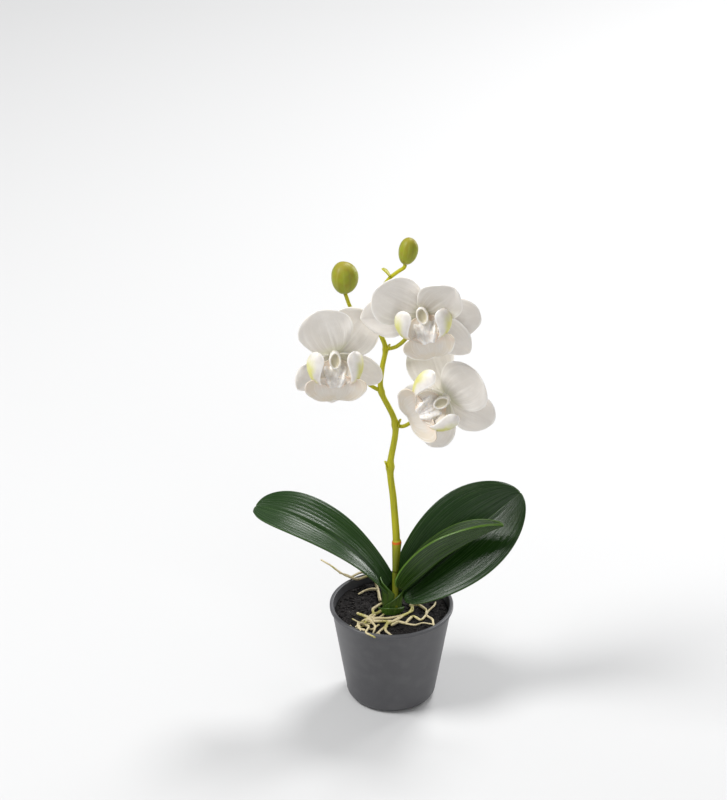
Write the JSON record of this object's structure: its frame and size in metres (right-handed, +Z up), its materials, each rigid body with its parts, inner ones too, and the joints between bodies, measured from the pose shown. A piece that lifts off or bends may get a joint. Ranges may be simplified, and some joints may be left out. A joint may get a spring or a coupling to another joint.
{
  "type": "potted moth orchid",
  "caption": "Moth orchid with white open flowers and green buds on a curved spike above broad arching leaves, its aerial roots over peat in a round tapered plastic pot.",
  "frame": {"origin": "middle of the pot's underside, on the surface that it stands on", "axes": "+Z up along the pot's axis; the flowers face -Y; +X is to the right of someone who faces the flowers"},
  "size_m": [0.1746, 0.0946, 0.3301],
  "materials": {
    "pot_plastic": "dark grey satin plastic",
    "peat": "damp black peat with bark crumbs",
    "crown_green": "smooth green sheath",
    "leaf_green": "waxy dark green, ribbed along its length",
    "young_leaf_green": "waxy mid green",
    "stem_olive": "smooth olive yellow green",
    "bud_olive": "smooth olive green",
    "petal_white": "matt white with fine veins",
    "lip_cream": "matt cream with yellow margins",
    "column_cream": "matt greenish cream",
    "root_cream": "dull cream"
  },
  "bodies": {
    "root": {"pot": "pot_plastic", "soil": "peat", "crown": "crown_green", "leaf_left": "leaf_green", "leaf_right": "leaf_green", "leaf_young": "young_leaf_green", "flower_spike": "stem_olive", "bud_large": "bud_olive", "bud_small": "bud_olive", "flower_left_petals": "petal_white", "flower_left_lip": "lip_cream", "flower_left_column": "column_cream", "flower_top_petals": "petal_white", "flower_top_lip": "lip_cream", "flower_top_column": "column_cream", "flower_right_petals": "petal_white", "flower_right_lip": "lip_cream", "flower_right_column": "column_cream", "aerial_roots_front": "root_cream", "aerial_roots_back": "root_cream"}
  },
  "joints": []
}
